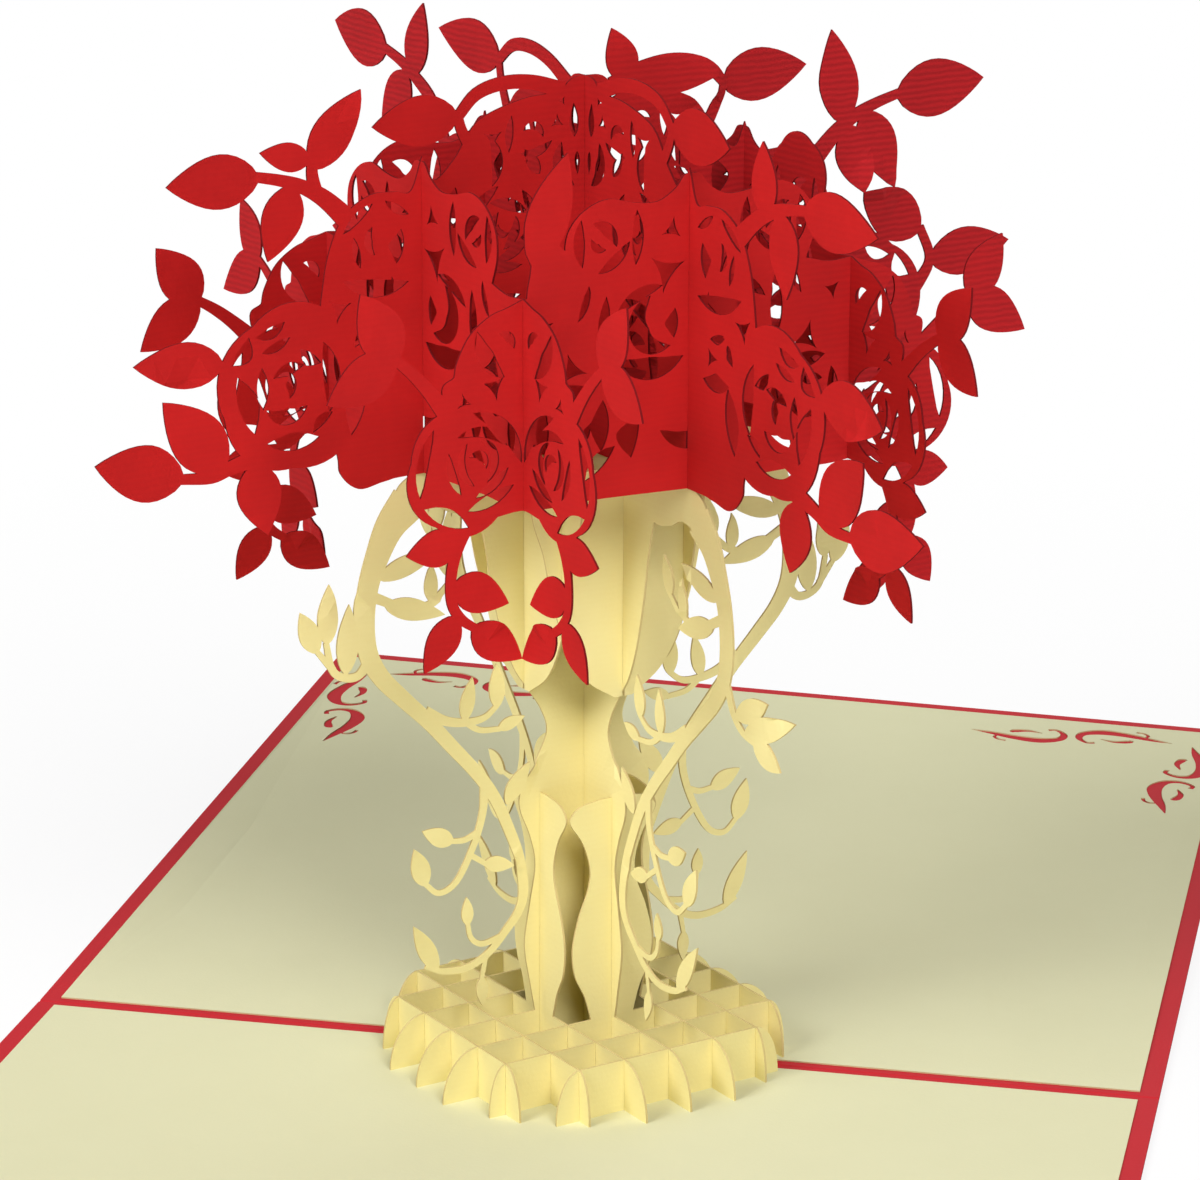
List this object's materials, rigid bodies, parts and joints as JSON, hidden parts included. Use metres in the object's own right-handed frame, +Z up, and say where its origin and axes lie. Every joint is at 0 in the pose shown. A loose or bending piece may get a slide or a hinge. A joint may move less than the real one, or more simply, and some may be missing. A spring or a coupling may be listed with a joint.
{
  "type": "pop up card",
  "caption": "Square greeting card lying open, with slotted paper slices that stand up from the fold as a bouquet of roses in a two-handled vase with vines.",
  "frame": {"origin": "on the underside of the cover, midway along the fold and under it", "axes": "+X along the fold to the right, +Y to the back of the open card, +Z up along the axis of the vase"},
  "size_m": [0.157, 0.314, 0.1402],
  "materials": {
    "cover_red": "matt card, red through and through",
    "liner_pale": "matt pale cream paper",
    "rose_red": "matt red laid paper, laser cut edges",
    "vase_cream": "matt cream paper, laser cut edges"
  },
  "bodies": {
    "root": {"cover": "cover_red", "liner_front": "liner_pale", "liner_back": "liner_pale", "vase_p": "vase_cream", "vase_q": "vase_cream", "body_p_front": "vase_cream", "body_p_back": "vase_cream", "body_q_front": "vase_cream", "body_q_back": "vase_cream", "base_p_front_2": "vase_cream", "base_p_front_3": "vase_cream", "base_p_back_2": "vase_cream", "base_p_back_3": "vase_cream", "base_q_front_2": "vase_cream", "base_q_front_3": "vase_cream", "base_q_back_2": "vase_cream", "base_q_back_3": "vase_cream", "bowl_p_front": "vase_cream", "bowl_p_back": "vase_cream", "bowl_q_front": "vase_cream", "bowl_q_back": "vase_cream", "rose_p_mid": "rose_red", "rose_q_mid": "rose_red", "rose_p_front": "rose_red", "rose_p_back": "rose_red", "rose_q_front": "rose_red", "rose_q_back": "rose_red"}
  },
  "joints": []
}
